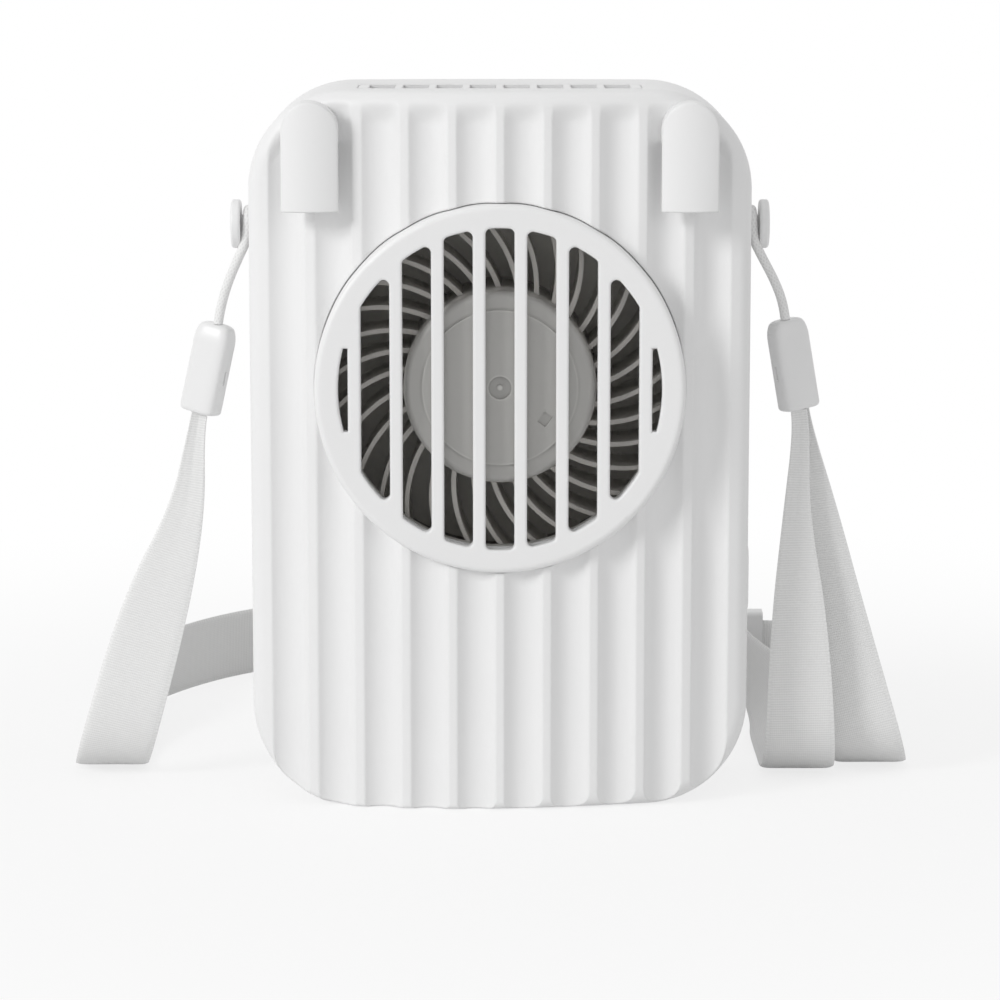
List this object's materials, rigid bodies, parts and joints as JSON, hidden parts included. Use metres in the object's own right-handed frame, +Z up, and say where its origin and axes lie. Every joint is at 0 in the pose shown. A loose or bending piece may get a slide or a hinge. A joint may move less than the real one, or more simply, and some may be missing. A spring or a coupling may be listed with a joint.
{
  "type": "electric neck fan",
  "caption": "Palm-sized neck fan: fluted upright housing, round slotted intake with a curved-blade blower wheel behind it, pocket clip tongues and a flat neck ribbon on side studs.",
  "frame": {"origin": "on the floor under the middle of the fan's box, strap left out", "axes": "+X to the right seen from the grille side, +Y from the grille to the back, +Z up"},
  "size_m": [0.1159, 0.1083, 0.095],
  "materials": {
    "housing_white": "satin",
    "button_white": "gloss",
    "impeller_grey": "satin",
    "duct_grey": "matte",
    "steel": "satin",
    "motor_alloy": "satin",
    "magnet_dark": "matte",
    "copper": "satin",
    "bearing_bronze": "satin",
    "board_green": "satin",
    "black_plastic": "matte",
    "lamp_clear": "gloss",
    "cell_foil": "satin",
    "lead_red": "satin",
    "cord_white": "matte",
    "ribbon_white": "matte"
  },
  "bodies": {
    "housing": {"front_shell": "housing_white", "rear_shell": "housing_white", "intake_grille": "housing_white", "outlet_grille": "housing_white", "left_clip": "housing_white", "right_clip": "housing_white", "left_stud": "housing_white", "right_stud": "housing_white", "left_strap_end": "housing_white", "right_strap_end": "housing_white", "ribbon_slider": "housing_white", "blower_scroll": "duct_grey", "stator_core": "steel", "case_screws": "steel", "motor_screws": "steel", "board_screws": "steel", "charging_port": "steel", "motor_base": "motor_alloy", "stator_coils": "copper", "front_bearing": "bearing_bronze", "rear_bearing": "bearing_bronze", "motor_board": "board_green", "control_board": "board_green", "tact_switch": "black_plastic", "board_parts": "black_plastic", "light_pipe": "lamp_clear", "battery_cell": "cell_foil", "motor_leads": "lead_red", "battery_leads": "lead_red", "left_cord_loop": "cord_white", "right_cord_loop": "cord_white", "ribbon_left": "ribbon_white", "ribbon_right": "ribbon_white", "ribbon_return": "ribbon_white", "ribbon_coil": "ribbon_white"},
    "rotor": {"impeller": "impeller_grey", "rotor_cup": "steel", "rotor_magnet": "magnet_dark", "motor_shaft": "steel"},
    "button": {"power_button": "button_white", "switch_plunger": "black_plastic"}
  },
  "joints": [
    {"name": "impeller_spin", "type": "hinge", "parent": "housing", "child": "rotor", "pos_m": [0, 0, 0.0563], "axis": [0, 1, 0], "continuous": true},
    {"name": "power_button_press", "type": "slide", "parent": "housing", "child": "button", "axis": [-1, 0, 0], "range_m": [0, 0.0005], "stiffness_N_per_m": 2000, "springref_m": -0.0003}
  ]
}
